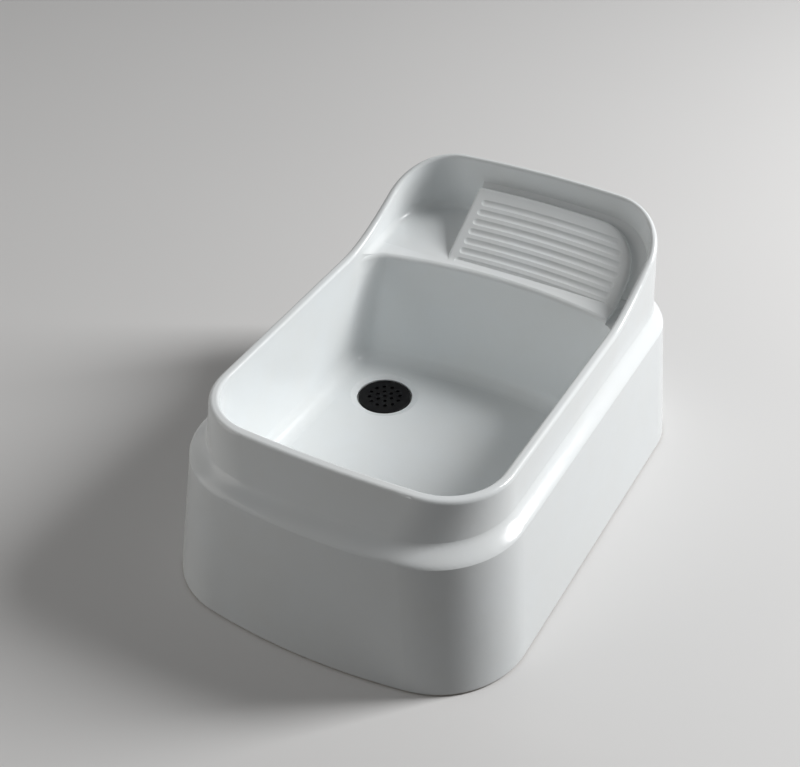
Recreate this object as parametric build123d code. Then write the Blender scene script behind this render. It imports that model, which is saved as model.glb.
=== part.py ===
from build123d import *
import math
import os
from dataclasses import dataclass, replace

# Floor-standing foot wash basin, all sizes in millimetres.
# Origin: middle of the footprint on the floor. X to the right, Y to the back, Z up.

# Skirt: the lower body, a rounded rectangle that narrows upwards
BASE_WIDTH = 402.0
BASE_DEPTH = 600.0
BASE_CORNER = 101.0
BASE_BOW = 690.0
SKIRT_DRAFT = math.tan(math.radians(5.8))
SKIRT_WALL = 12.0
FOOT_ROUND = 3.0

# Collar: the inset upper band that carries the rim, measured at COLLAR_GAUGE_Z
COLLAR_GAUGE_Z = 216.0
COLLAR_WIDTH = 336.4
COLLAR_FRONT = -243.6
COLLAR_BACK = 271.7
COLLAR_CORNER = 73.5
COLLAR_BOW = 1560.0
COLLAR_DRAFT = math.tan(math.radians(2.9))
COLLAR_FRONT_SLOPE = math.tan(math.radians(24.0))
COLLAR_CORNER_GROWTH = 0.47
COLLAR_WALL = 10.4

# Shoulder: the short S-shaped step between skirt and collar
SHOULDER_LOW_Z = 156.0
SHOULDER_HIGH_Z = 172.5
SHOULDER_SECTIONS = 7
SHOULDER_SHARPNESS = 0.7

# Rim: level at the front, then rising to the back in one easy sweep
RIM_FRONT_Z = 215.0
RIM_CREST_Z = 309.5
RIM_RISE_START_Y = 80.0
RIM_RISE_END_Y = 363.0
RIM_OUTER_ROUND = 4.4
RIM_INNER_ROUND = 3.5

# Bowl: the deep front part
LEDGE_Z = 201.0
LEDGE_Y = 150.0
LEDGE_BOW = 557.0
BOWL_LOW_Z = 60.0
BOWL_SIDE_DRAFT = 0.02
BOWL_FRONT_DRAFT = 0.06
BOWL_BACK_DRAFT = 0.27
BOWL_BACK_CORNER = 28.0
LEDGE_ROUND = 6.0
LEDGE_ROUND_SECTIONS = 6
LEDGE_ROUND_END_DEG = 80.0
BOWL_FLOOR_ROUND = 20.0
BOWL_WALL = 11.5
FLOOR_FALL = 0.02
FLOOR_WALL = 12.0
DISH_RADIUS = 40.0
DISH_RIM_Z = 73.0
DISH_SEAT_RADIUS = 33.5
DISH_SEAT_Z = 70.5

# Shelf behind the bowl and the ribbed foot rest on it
SHELF_START_Y = 156.0
SHELF_RISE = math.tan(math.radians(5.5))
SHELF_COVE = 8.0
SHELF_COVE_FROM_Y = 92.0
REST_LEFT = -72.5
REST_RIGHT = 141.0
REST_BACK = 251.0
REST_CORNER = 57.0
REST_FOOT_Y = 160.0
REST_SLOPE_DEG = 31.9
REST_SLOPE = math.tan(math.radians(REST_SLOPE_DEG))
REST_BLEND = 18.0
REST_LEFT_ROUND = 4.5
REST_EDGE_ROUND = 5.0
CHANNEL_DEPTH = 10.0
NOTCH_DEPTH = 5.0
GROOVE_COUNT = 7
GROOVE_PITCH = 11.2
GROOVE_LAST_Y = 230.0
GROOVE_RADIUS = 8.0
GROOVE_DEPTH = 1.2
GROOVE_MARGIN = 16.0

# Hollow under the basin
HOLLOW_SIDE_TOP = 135.0
HOLLOW_FRONT_TOP = 145.0
HOLLOW_FRONT_Y = -225.0
HOLLOW_REAR_Y = 125.0
SHELF_THICKNESS = 12.5
CUTOUT_HALF_WIDTH = 46.0
CUTOUT_HEIGHT = 74.0
CUTOUT_CORNER = 30.0

# Waste, from the cover down to the outlet
DRAIN_X = -89.5
DRAIN_Y = 41.0
RECESS_RADIUS = 32.5
RECESS_Z = 65.0
WASTE_HOLE_RADIUS = 27.0
BOSS_RADIUS = 46.0
BOSS_Z = 55.0
COVER_RADIUS = 31.0
COVER_TOP_Z = 71.0
FLANGE_RADIUS = 31.5
FLANGE_TOP_Z = 68.4
FLANGE_BOTTOM_Z = 66.2
FLANGE_BORE = 23.3
TAIL_RADIUS = 25.6
TAIL_END_Z = 44.0
TRAP_RADIUS = 42.0
TRAP_WALL = 3.0
TRAP_TOP_Z = 52.5
TRAP_BOTTOM_Z = 5.0
NECK_RADIUS = 29.0
TUBE_RADIUS = 14.5
TUBE_BORE = 13.0
TUBE_END_Z = 14.0
COLLET_RADIUS = 22.9
CUP_RADIUS = 22.6
CUP_BORE = 21.0
CUP_TOP_Z = 38.0
CUP_BOTTOM_Z = 8.3
OUTLET_Z = 27.0
PIPE_RADIUS = 20.0
PIPE_BORE = 18.2
PIPE_END_Y = 292.0
PIPE_CHAMFER = 1.4
PIPE_CHAMFER_LENGTH = 2.5
PIPE_BEAD_Y = 238.0
PIPE_BEAD_LENGTH = 4.0
PIPE_BEAD_RADIUS = 23.0
SOCKET_RADIUS = 24.0
SOCKET_BORE = 20.3
SOCKET_END_Y = DRAIN_Y + 70.0
NUT_RADIUS = 26.5


@dataclass(frozen=True)
class Outline:
    """A rounded rectangle with straight sides and softly bowed front and back."""

    half_width: float
    front: float
    back: float
    front_bow: float
    back_bow: float
    front_corner: float
    back_corner: float

    def inset(self, distance):
        return Outline(
            self.half_width - distance,
            self.front + distance,
            self.back - distance,
            self.front_bow - distance,
            self.back_bow - distance,
            self.front_corner - distance,
            self.back_corner - distance,
        )

    def toward(self, other, share):
        mine = list(vars(self).values())
        theirs = list(vars(other).values())
        return Outline(*[a * (1 - share) + b * share for a, b in zip(mine, theirs)])

    def corner_points(self, edge_y, bow, corner, side):
        """Points where one corner arc starts, is half way round and ends."""
        bow_centre = edge_y - side * bow
        centre_x = self.half_width - corner
        centre_y = bow_centre + side * math.sqrt((bow - corner) ** 2 - centre_x**2)
        sweep = math.atan2(side * (centre_y - bow_centre), centre_x)
        points = []
        for angle in (0.0, sweep / 2, sweep):
            x = centre_x + corner * math.cos(angle)
            y = centre_y + side * corner * math.sin(angle)
            points.append((x, y))
        return points

    def wire(self, z):
        back = self.corner_points(self.back, self.back_bow, self.back_corner, 1)
        front = self.corner_points(self.front, self.front_bow, self.front_corner, -1)

        def at(point, mirror=1):
            return Vector(mirror * point[0], point[1], z)

        edges = [
            Edge.make_line(at(front[0]), at(back[0])),
            Edge.make_three_point_arc(at(back[0]), at(back[1]), at(back[2])),
            Edge.make_three_point_arc(at(back[2]), Vector(0, self.back, z), at(back[2], -1)),
            Edge.make_three_point_arc(at(back[2], -1), at(back[1], -1), at(back[0], -1)),
            Edge.make_line(at(back[0], -1), at(front[0], -1)),
            Edge.make_three_point_arc(at(front[0], -1), at(front[1], -1), at(front[2], -1)),
            Edge.make_three_point_arc(at(front[2], -1), Vector(0, self.front, z), at(front[2])),
            Edge.make_three_point_arc(at(front[2]), at(front[1]), at(front[0])),
        ]
        return Wire(edges)


BASE = Outline(
    BASE_WIDTH / 2, -BASE_DEPTH / 2, BASE_DEPTH / 2, BASE_BOW, BASE_BOW, BASE_CORNER, BASE_CORNER
)
COLLAR = Outline(
    COLLAR_WIDTH / 2,
    COLLAR_FRONT,
    COLLAR_BACK,
    COLLAR_BOW,
    COLLAR_BOW,
    COLLAR_CORNER,
    COLLAR_CORNER,
)
INSIDE = COLLAR.inset(COLLAR_WALL)


def stack(outlines, heights, ruled=True):
    """A solid through the given outlines at the given heights."""
    return Solid.make_loft([o.wire(z) for o, z in zip(outlines, heights)], ruled)


def side_prism(points, x_from=-400.0, x_to=400.0):
    """A prism along X with the given (y, z) corners."""
    wire = Wire.make_polygon([Vector(x_from, y, z) for y, z in points], close=True)
    return Solid.extrude(Face(wire), Vector(x_to - x_from, 0, 0))


def ring(outer, inner, z_low, z_high, x=DRAIN_X, y=DRAIN_Y):
    """An upright tube with a round bore."""
    height = z_high - z_low
    body = Solid.make_cylinder(outer, height, Plane((x, y, z_low)))
    return body - Solid.make_cylinder(inner, height, Plane((x, y, z_low)))


def turned(points, x=DRAIN_X, y=DRAIN_Y):
    """A solid of revolution about the upright axis of the waste, from (radius, z) corners."""
    wire = Wire.make_polygon([Vector(r, 0, z) for r, z in points], close=True)
    return Solid.revolve(Face(wire), 360, Axis.Z).moved(Location((x, y, 0)))


def along_pipe(outer, inner, y_from, y_to):
    """A tube along the outlet, which runs towards the back."""
    place = Plane((DRAIN_X, y_from, OUTLET_Z), z_dir=(0, 1, 0))
    length = y_to - y_from
    return Solid.make_cylinder(outer, length, place) - Solid.make_cylinder(inner, length, place)


def skirt_outline(z):
    """The skirt at a height: it narrows upwards, but its front corners keep their radius."""
    return replace(BASE.inset(SKIRT_DRAFT * z), front_corner=BASE_CORNER)


def collar_outline(z):
    """The collar at a height: steep, but sloping and with rounder corners at the front."""
    drop = COLLAR_GAUGE_Z - z
    return replace(
        COLLAR.inset(-COLLAR_DRAFT * drop),
        front=COLLAR_FRONT - COLLAR_FRONT_SLOPE * drop,
        front_corner=COLLAR_CORNER + COLLAR_CORNER_GROWTH * drop,
    )


def shoulder_section(z, inset=0.0):
    """Outline of the outside at a height, passing from the skirt to the collar."""
    u = (z - SHOULDER_LOW_Z) / (SHOULDER_HIGH_Z - SHOULDER_LOW_Z)
    u = min(max(u, 0.0), 1.0)
    share = (u * u * (3 - 2 * u)) ** SHOULDER_SHARPNESS
    return skirt_outline(z).toward(collar_outline(z), share).inset(inset)


def outside(z_low, z_high, inset=0.0):
    """The outer form: drafted skirt, S-shaped shoulder and drafted collar."""
    step = (SHOULDER_HIGH_Z - SHOULDER_LOW_Z) / SHOULDER_SECTIONS
    shoulder = [SHOULDER_LOW_Z + step * i for i in range(SHOULDER_SECTIONS + 1)]
    parts = []
    for heights, ruled in (
        ([z_low, SHOULDER_LOW_Z], True),
        (shoulder, False),
        ([SHOULDER_HIGH_Z, z_high], True),
    ):
        parts.append(stack([shoulder_section(z, inset) for z in heights], heights, ruled))
    return parts[0].fuse(*parts[1:])


def below_rim():
    """Everything under the rim line, which is drawn in side view and swept across."""
    third = (RIM_RISE_END_Y - RIM_RISE_START_Y) / 3
    far_front = -400.0
    corners = [
        (0, RIM_RISE_START_Y, RIM_FRONT_Z),
        (0, RIM_RISE_START_Y + third, RIM_FRONT_Z),
        (0, RIM_RISE_START_Y + 2 * third, RIM_CREST_Z),
        (0, RIM_RISE_END_Y, RIM_CREST_Z),
    ]
    sweep = Edge.make_bezier(*[Vector(p) for p in corners])
    rest = Wire.make_polygon(
        [
            Vector(corners[3]),
            Vector(0, RIM_RISE_END_Y, -10),
            Vector(0, far_front, -10),
            Vector(0, far_front, RIM_FRONT_Z),
            Vector(corners[0]),
        ],
        close=False,
    )
    face = Face(Wire([sweep] + list(rest.edges())))
    half = 300.0
    return Solid.extrude(face.moved(Location((-half, 0, 0))), Vector(2 * half, 0, 0))


def rim_height(y):
    """Height of the rim line at a depth."""
    u = (y - RIM_RISE_START_Y) / (RIM_RISE_END_Y - RIM_RISE_START_Y)
    u = min(max(u, 0.0), 1.0)
    return RIM_FRONT_Z + (RIM_CREST_Z - RIM_FRONT_Z) * u * u * (3 - 2 * u)


def on_rim(edge):
    """True for an edge that lies on the rim line all along."""
    return all(abs(p.Z - rim_height(p.Y)) < 0.05 for p in (edge @ 0, edge @ 0.5, edge @ 1))


def bowl_outline(z, grow=0.0):
    """Outline of the bowl at a height below the ledge, larger by grow all round."""
    drop = LEDGE_Z - z
    return Outline(
        INSIDE.half_width - BOWL_SIDE_DRAFT * drop,
        INSIDE.front + BOWL_FRONT_DRAFT * drop,
        LEDGE_Y - BOWL_BACK_DRAFT * drop,
        INSIDE.front_bow,
        LEDGE_BOW,
        INSIDE.front_corner,
        BOWL_BACK_CORNER,
    ).inset(-grow)


def floor_cutter(lower=0.0):
    """What lies under the bowl floor: a flat cone that falls to the waste, with its dish."""
    reach = 420.0
    low = 20.0
    edge_z = DISH_RIM_Z + FLOOR_FALL * (reach - DISH_RADIUS)
    points = [
        (0, low),
        (reach, low),
        (reach, edge_z - lower),
        (DISH_RADIUS, DISH_RIM_Z - lower),
        (DISH_SEAT_RADIUS, DISH_SEAT_Z - lower),
        (0, DISH_SEAT_Z - lower),
    ]
    return turned(points)


def ledge_lip():
    """Outlines and heights of the rounded edge between the bowl's back wall and the ledge."""
    wall_angle = math.atan(BOWL_BACK_DRAFT)
    end_angle = math.radians(LEDGE_ROUND_END_DEG)
    heights = []
    outlines = []
    for i in range(LEDGE_ROUND_SECTIONS):
        angle = wall_angle + (end_angle - wall_angle) * i / (LEDGE_ROUND_SECTIONS - 1)
        heights.append(LEDGE_Z - LEDGE_ROUND * (1 - math.sin(angle)))
        plain = bowl_outline(heights[-1])
        wall = bowl_outline(heights[0])
        flare = LEDGE_ROUND * (math.cos(wall_angle) - math.cos(angle))
        outline = Outline(
            plain.half_width,
            plain.front,
            wall.back + flare,
            plain.front_bow,
            wall.back_bow + flare,
            plain.front_corner,
            plain.back_corner,
        )
        outlines.append(outline)
    return outlines, heights


def bowl_space():
    """The air in the deep part of the basin, with its rounded floor and rounded ledge."""
    outlines, heights = ledge_lip()
    lip = stack(outlines, heights, False)
    over_lip = stack([outlines[-1], outlines[-1]], [heights[-1], LEDGE_Z + SHELF_COVE + 1])
    levels = [BOWL_LOW_Z, heights[0]]
    space = stack([bowl_outline(BOWL_LOW_Z), outlines[0]], levels) - floor_cutter()
    loop = [e for e in space.edges() if (e @ 0.5).Z < DISH_RIM_Z + 8 and is_floor_edge(e)]
    return space.fillet(BOWL_FLOOR_ROUND, loop).fuse(lip, over_lip)


def is_floor_edge(edge):
    """True for an edge where the bowl wall meets the floor."""
    middle = edge @ 0.5
    reach = math.hypot(middle.X - DRAIN_X, middle.Y - DRAIN_Y)
    ends = [edge @ 0, edge @ 1]
    level = all(abs(p.Z - middle.Z) < 3 for p in ends)
    return reach > DISH_RADIUS + 5 and level


def rest_profile(lower, low_z):
    """Side view of the foot rest: level at the ledge, an easy hollow curve, then the slope."""
    start_y = REST_FOOT_Y - 60.0
    end_y = 290.0
    angle = math.radians(REST_SLOPE_DEG)
    tangent = REST_BLEND * math.tan(angle / 2)
    level_z = LEDGE_Z - lower
    blend_y = REST_FOOT_Y - tangent

    def on_blend(turn):
        return (
            blend_y + REST_BLEND * math.sin(turn),
            level_z + REST_BLEND * (1 - math.cos(turn)),
        )

    def at(point):
        return Vector(REST_LEFT, point[0], point[1])

    corners = [
        (start_y, low_z),
        (start_y, level_z),
        (blend_y, level_z),
        on_blend(angle),
        (end_y, level_z + REST_SLOPE * (end_y - REST_FOOT_Y)),
        (end_y, low_z),
    ]
    edges = [Edge.make_line(at(corners[i]), at(corners[i + 1])) for i in (0, 1, 3, 4)]
    edges.append(Edge.make_line(at(corners[5]), at(corners[0])))
    edges.append(
        Edge.make_three_point_arc(at(corners[2]), at(on_blend(angle / 2)), at(corners[3]))
    )
    return Solid.extrude(Face(Wire(edges)), Vector(300, 0, 0))


def foot_rest():
    """The sloping ribbed block, and the floor of the drain channel round it."""
    low_z = 165.0
    low_y = REST_FOOT_Y - 50.0
    side = Outline(
        REST_RIGHT, -REST_BACK, REST_BACK, COLLAR_BOW, COLLAR_BOW, REST_CORNER, REST_CORNER
    )
    corner = side.corner_points(REST_BACK, COLLAR_BOW, REST_CORNER, 1)
    points = [Vector(x, y, low_z) for x, y in corner]
    left_back = Vector(REST_LEFT, bowed(REST_BACK, REST_LEFT), low_z)
    low_right = Vector(REST_RIGHT, low_y, low_z)
    low_left = Vector(REST_LEFT, low_y, low_z)
    middle_x = (REST_LEFT + points[2].X) / 2
    back_middle = Vector(middle_x, bowed(REST_BACK, middle_x), low_z)
    plan = Wire(
        [
            Edge.make_line(low_left, low_right),
            Edge.make_line(low_right, points[0]),
            Edge.make_three_point_arc(points[0], points[1], points[2]),
            Edge.make_three_point_arc(points[2], back_middle, left_back),
            Edge.make_line(left_back, low_left),
        ]
    )
    pad = Solid.extrude(Face(plan), Vector(0, 0, 140)) & rest_profile(0.0, low_z)
    pad = pad.solid()
    back_and_right = [
        e for e in pad.edges() if lies_on_slope(e) and (e @ 0.5).X > REST_LEFT + 1 and not level(e)
    ]
    pad = pad.fillet(REST_EDGE_ROUND, back_and_right)
    left = [
        e for e in pad.edges() if lies_on_slope(e) and abs((e @ 0.5).X - REST_LEFT) < 0.01
    ]
    pad = pad.fillet(REST_LEFT_ROUND, left)
    for groove in grooves():
        pad = pad - groove
    return pad.fuse(rest_profile(CHANNEL_DEPTH, low_z))


def bowed(y, x):
    """Depth of a line bowed like the back wall, at a distance from the middle."""
    return y - COLLAR_BOW + math.sqrt(COLLAR_BOW**2 - x**2)


def level(edge):
    """True for an edge whose ends and middle are at one height."""
    middle = edge @ 0.5
    return abs((edge @ 0).Z - middle.Z) < 0.01 and abs((edge @ 1).Z - middle.Z) < 0.01


def slope_height(y):
    return LEDGE_Z + REST_SLOPE * (y - REST_FOOT_Y)


def lies_on_slope(edge):
    """True for an edge in the plane of the foot rest."""
    return all(abs(p.Z - slope_height(p.Y)) < 0.01 for p in (edge @ 0, edge @ 0.5, edge @ 1))


def grooves():
    """The bowed, round-ended grooves across the foot rest, shorter where its corner turns."""
    tilt = math.radians(REST_SLOPE_DEG)
    up_slope = Vector(0, math.cos(tilt), math.sin(tilt))
    normal = Vector(0, -math.sin(tilt), math.cos(tilt))
    bow = COLLAR_BOW * math.cos(tilt)
    lift = GROOVE_RADIUS - GROOVE_DEPTH
    cutters = []
    for i in range(GROOVE_COUNT):
        y = GROOVE_LAST_Y - GROOVE_PITCH * i
        past_corner = max(y - (REST_BACK - REST_CORNER), 0.0)
        edge_x = REST_RIGHT - REST_CORNER + math.sqrt(REST_CORNER**2 - past_corner**2)
        right = math.asin((edge_x - GROOVE_MARGIN) / bow)
        left = math.asin((REST_LEFT + GROOVE_MARGIN) / bow)
        centre = Vector(0, y, slope_height(y)) + normal * lift - up_slope * bow

        def on_line(angle):
            return centre + Vector(bow * math.sin(angle), 0, 0) + up_slope * (bow * math.cos(angle))

        start = on_line(right) - centre
        ring_place = Plane(centre, x_dir=start, z_dir=normal)
        groove = Solid.make_torus(
            bow, GROOVE_RADIUS, ring_place, major_angle=math.degrees(right - left)
        )
        for angle in (left, right):
            groove = groove.fuse(Solid.make_sphere(GROOVE_RADIUS, Plane(on_line(angle))))
        cutters.append(groove)
    return cutters


def on_shelf(edge):
    """True for an edge of the shelf's top face or of the level strip in front of it."""
    for point in (edge @ 0, edge @ 0.5, edge @ 1):
        rise = SHELF_RISE * max(point.Y - SHELF_START_Y, 0.0)
        if abs(point.Z - LEDGE_Z - rise) > 0.01:
            return False
    return True


def on_bend(edge):
    """True for the line where the level strip turns into the rising shelf."""
    return all(abs(point.Y - SHELF_START_Y) < 0.01 for point in (edge @ 0, edge @ 1))


def shelf_space():
    """The air over the shelf, with a cove where the shelf meets the walls."""
    low = LEDGE_Z - 10
    back_y = 300.0
    shelf = side_prism(
        [
            (-400.0, LEDGE_Z),
            (SHELF_START_Y, LEDGE_Z),
            (back_y, LEDGE_Z + SHELF_RISE * (back_y - SHELF_START_Y)),
            (back_y, low),
            (-400.0, low),
        ]
    )
    air = Solid.extrude(Face(INSIDE.wire(low)), Vector(0, 0, RIM_CREST_Z + 60 - low)) - shelf
    outline = [e for e in air.edges() if on_shelf(e) and not on_bend(e)]
    air = air.fillet(SHELF_COVE, outline)
    rear = side_prism([(SHELF_COVE_FROM_Y, 0), (400, 0), (400, 500), (SHELF_COVE_FROM_Y, 500)])
    return (air & rear).solid()


def basin_space():
    """All the air inside the rim: bowl, space over the shelf, and the channel's way out."""
    height = RIM_CREST_Z + 60 - LEDGE_Z
    front = side_prism(
        [
            (-400.0, LEDGE_Z),
            (SHELF_COVE_FROM_Y, LEDGE_Z),
            (SHELF_COVE_FROM_Y, LEDGE_Z + height),
            (-400.0, LEDGE_Z + height),
        ]
    )
    upper = (Solid.extrude(Face(INSIDE.wire(LEDGE_Z)), Vector(0, 0, height)) & front).solid()
    upper = upper.fuse(shelf_space()) - foot_rest()
    notch_low = LEDGE_Z - NOTCH_DEPTH
    notch_end = REST_FOOT_Y + CHANNEL_DEPTH / REST_SLOPE
    notch = side_prism(
        [
            (REST_FOOT_Y - 60, notch_low),
            (notch_end - NOTCH_DEPTH / REST_SLOPE, notch_low),
            (notch_end, LEDGE_Z),
            (notch_end, LEDGE_Z + 2),
            (REST_FOOT_Y - 60, LEDGE_Z + 2),
        ],
        REST_RIGHT,
        INSIDE.half_width,
    )
    return bowl_space().fuse(upper, notch)


def under_space():
    """The hollow that the casting leaves between skirt, bowl and foot rest."""
    far = 400.0
    low = -5.0
    inner = outside(low, RIM_CREST_Z, SKIRT_WALL)

    def zone(y_from, y_to, z_front, z_back):
        return side_prism([(y_from, low), (y_to, low), (y_to, z_back), (y_from, z_front)])

    shelf_under = LEDGE_Z - SHELF_THICKNESS
    rear_top = shelf_under + SHELF_RISE * (far - SHELF_START_Y)
    rear_front_top = shelf_under + SHELF_RISE * (HOLLOW_REAR_Y - SHELF_START_Y)
    zones = zone(-far, far, HOLLOW_SIDE_TOP, HOLLOW_SIDE_TOP).fuse(
        zone(-far, HOLLOW_FRONT_Y, HOLLOW_FRONT_TOP, HOLLOW_FRONT_TOP),
        zone(HOLLOW_REAR_Y, far, rear_front_top, rear_top),
    )
    rest_drop = CHANNEL_DEPTH + SHELF_THICKNESS
    wedge_from = 170.0
    wedge_to = 290.0
    wedge = side_prism(
        [
            (wedge_from, shelf_under - 30),
            (wedge_to, shelf_under - 30),
            (wedge_to, slope_height(wedge_to) - rest_drop),
            (wedge_from, slope_height(wedge_from) - rest_drop),
        ],
        REST_LEFT + SHELF_THICKNESS,
        REST_RIGHT,
    )
    space = (inner & zones.fuse(wedge)).solid()
    heights = [BOWL_LOW_Z - 20, LEDGE_Z]
    bowl = stack([bowl_outline(z, BOWL_WALL) for z in heights], heights)
    return space - (bowl - floor_cutter(FLOOR_WALL))


def rear_cutout():
    """Arched opening in the back of the skirt for the waste pipe."""
    y = 200.0
    half = CUTOUT_HALF_WIDTH
    shoulder_z = CUTOUT_HEIGHT - CUTOUT_CORNER
    diagonal = CUTOUT_CORNER * math.sqrt(0.5)
    jambs = []
    for side in (-1, 1):
        inner_x = DRAIN_X + side * (half - CUTOUT_CORNER)
        foot = Vector(DRAIN_X + side * half, y, -5)
        start = Vector(DRAIN_X + side * half, y, shoulder_z)
        middle = Vector(inner_x + side * diagonal, y, shoulder_z + diagonal)
        end = Vector(inner_x, y, CUTOUT_HEIGHT)
        jambs.append((foot, start, middle, end))
    (foot_l, start_l, middle_l, end_l), (foot_r, start_r, middle_r, end_r) = jambs
    wire = Wire(
        [
            Edge.make_line(foot_l, start_l),
            Edge.make_three_point_arc(start_l, middle_l, end_l),
            Edge.make_line(end_l, end_r),
            Edge.make_three_point_arc(end_r, middle_r, start_r),
            Edge.make_line(start_r, foot_r),
            Edge.make_line(foot_r, foot_l),
        ]
    )
    return Solid.extrude(Face(wire), Vector(0, 150, 0))


def rim_edges(body, inside):
    """Edges of the rim line, on the side of the bowl or on the outside."""
    found = []
    for edge in body.edges():
        middle = edge @ 0.5
        within_width = abs(middle.X) <= INSIDE.half_width + 0.1
        within_depth = INSIDE.front - 0.1 < middle.Y < INSIDE.back + 0.1
        if on_rim(edge) and (within_width and within_depth) == inside:
            found.append(edge)
    return found


def basin_body():
    """The glazed fireclay casting."""
    body = (outside(0.0, RIM_CREST_Z + 20) & below_rim()).solid()
    foot = [e for e in body.edges() if (e @ 0.5).Z < 0.01]
    body = body.fillet(FOOT_ROUND, foot)
    body = (body - basin_space()).solid()
    body = body.fillet(RIM_OUTER_ROUND, rim_edges(body, False))
    body = body.fillet(RIM_INNER_ROUND, rim_edges(body, True))
    body = body - under_space() - rear_cutout()
    boss = Solid.make_cylinder(BOSS_RADIUS, 8.0, Plane((DRAIN_X, DRAIN_Y, BOSS_Z)))
    body = body.fuse(boss)
    recess = Solid.make_cylinder(RECESS_RADIUS, 20.0, Plane((DRAIN_X, DRAIN_Y, RECESS_Z)))
    hole = Solid.make_cylinder(
        WASTE_HOLE_RADIUS, 40.0, Plane((DRAIN_X, DRAIN_Y, BOSS_Z - 10))
    )
    return body - recess - hole


def strainer_cover():
    """Round perforated cover over the waste."""
    bottom = FLANGE_TOP_Z
    cover = turned(
        [
            (0, bottom),
            (COVER_RADIUS, bottom),
            (COVER_RADIUS, COVER_TOP_Z - 1.0),
            (COVER_RADIUS - 1.2, COVER_TOP_Z),
            (0, COVER_TOP_Z),
        ]
    )
    holes = [(0.0, 1), (9.0, 6), (18.0, 12)]
    hole_radius = 2.3
    for reach, count in holes:
        for i in range(count):
            angle = 2 * math.pi * i / count
            x = DRAIN_X + reach * math.cos(angle)
            y = DRAIN_Y + reach * math.sin(angle)
            cover = cover - Solid.make_cylinder(hole_radius, 10, Plane((x, y, bottom - 2)))
    return cover


def dip_tube():
    """Tube that hangs under the cover and dips into the water of the cup."""
    top = FLANGE_TOP_Z
    return turned(
        [
            (TUBE_BORE, TUBE_END_Z),
            (TUBE_RADIUS, TUBE_END_Z),
            (TUBE_RADIUS, 57.0),
            (COLLET_RADIUS, 60.5),
            (COLLET_RADIUS, 62.0),
            (20.4, 62.0),
            (20.4, 64.8),
            (COLLET_RADIUS, 64.8),
            (COLLET_RADIUS, top),
            (20.8, top),
            (18.4, 62.5),
            (TUBE_BORE, 58.0),
        ]
    )


def dip_tube_o_ring():
    """Rubber ring that seals the dip tube in the flange."""
    section_radius = 1.3
    mean_radius = 21.75
    place = Plane((DRAIN_X, DRAIN_Y, 63.4))
    return Solid.make_torus(mean_radius, section_radius, place)


def seal_cup():
    """Lift-out cup that holds the water seal, clipped to the dip tube by three ribs."""
    cup = turned(
        [
            (0, CUP_BOTTOM_Z),
            (CUP_RADIUS - 1.5, CUP_BOTTOM_Z),
            (CUP_RADIUS, CUP_BOTTOM_Z + 1.5),
            (CUP_RADIUS, CUP_TOP_Z),
            (CUP_BORE, CUP_TOP_Z),
            (CUP_BORE, CUP_BOTTOM_Z + 1.8),
            (0, CUP_BOTTOM_Z + 1.8),
        ]
    )
    rib_thickness = 1.8
    rib_low = 26.0
    for i in range(3):
        rib = Solid.make_box(
            CUP_BORE + 0.5 - TUBE_RADIUS, rib_thickness, CUP_TOP_Z - 1.0 - rib_low
        ).moved(Location((TUBE_RADIUS - 0.05, -rib_thickness / 2, rib_low)))
        rib = rib.rotate(Axis.Z, 120.0 * i + 30.0).moved(Location((DRAIN_X, DRAIN_Y, 0)))
        cup = cup.fuse(rib)
    return cup - Solid.make_cylinder(TUBE_RADIUS, 30, Plane((DRAIN_X, DRAIN_Y, 20)))


def waste_flange():
    """Metal flange with the tail that screws down into the trap."""
    return turned(
        [
            (FLANGE_BORE, TAIL_END_Z),
            (TAIL_RADIUS, TAIL_END_Z),
            (TAIL_RADIUS, FLANGE_BOTTOM_Z),
            (FLANGE_RADIUS, FLANGE_BOTTOM_Z),
            (FLANGE_RADIUS, FLANGE_TOP_Z),
            (FLANGE_BORE, FLANGE_TOP_Z),
        ]
    )


def trap_body():
    """Low plastic trap with its threaded neck and outlet socket."""
    inner = TRAP_RADIUS - TRAP_WALL
    floor_z = TRAP_BOTTOM_Z + TRAP_WALL
    plate = 3.5
    shell = turned(
        [
            (0, TRAP_BOTTOM_Z),
            (TRAP_RADIUS - 4, TRAP_BOTTOM_Z),
            (TRAP_RADIUS, TRAP_BOTTOM_Z + 4),
            (TRAP_RADIUS, TRAP_TOP_Z),
            (TAIL_RADIUS, TRAP_TOP_Z),
            (TAIL_RADIUS, TAIL_END_Z),
            (NECK_RADIUS, TAIL_END_Z),
            (NECK_RADIUS, TRAP_TOP_Z - plate),
            (inner, TRAP_TOP_Z - plate),
            (inner, floor_z + 2),
            (inner - 2, floor_z),
            (0, floor_z),
        ]
    )
    start = DRAIN_Y + TRAP_RADIUS - 12
    place = Plane((DRAIN_X, start, OUTLET_Z), z_dir=(0, 1, 0))
    socket = Solid.make_cylinder(SOCKET_RADIUS, SOCKET_END_Y - start, place)
    hollow_low = floor_z + 2
    hollow_height = TRAP_TOP_Z - plate - hollow_low
    hollow = Solid.make_cylinder(inner, hollow_height, Plane((DRAIN_X, DRAIN_Y, hollow_low)))
    stop = DRAIN_Y + TRAP_RADIUS + 4
    shell = shell.fuse(socket - hollow)
    shell = shell - Solid.make_cylinder(PIPE_BORE, 60, place)
    deep = Plane((DRAIN_X, stop, OUTLET_Z), z_dir=(0, 1, 0))
    return shell - Solid.make_cylinder(SOCKET_BORE, 60, deep)


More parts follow.
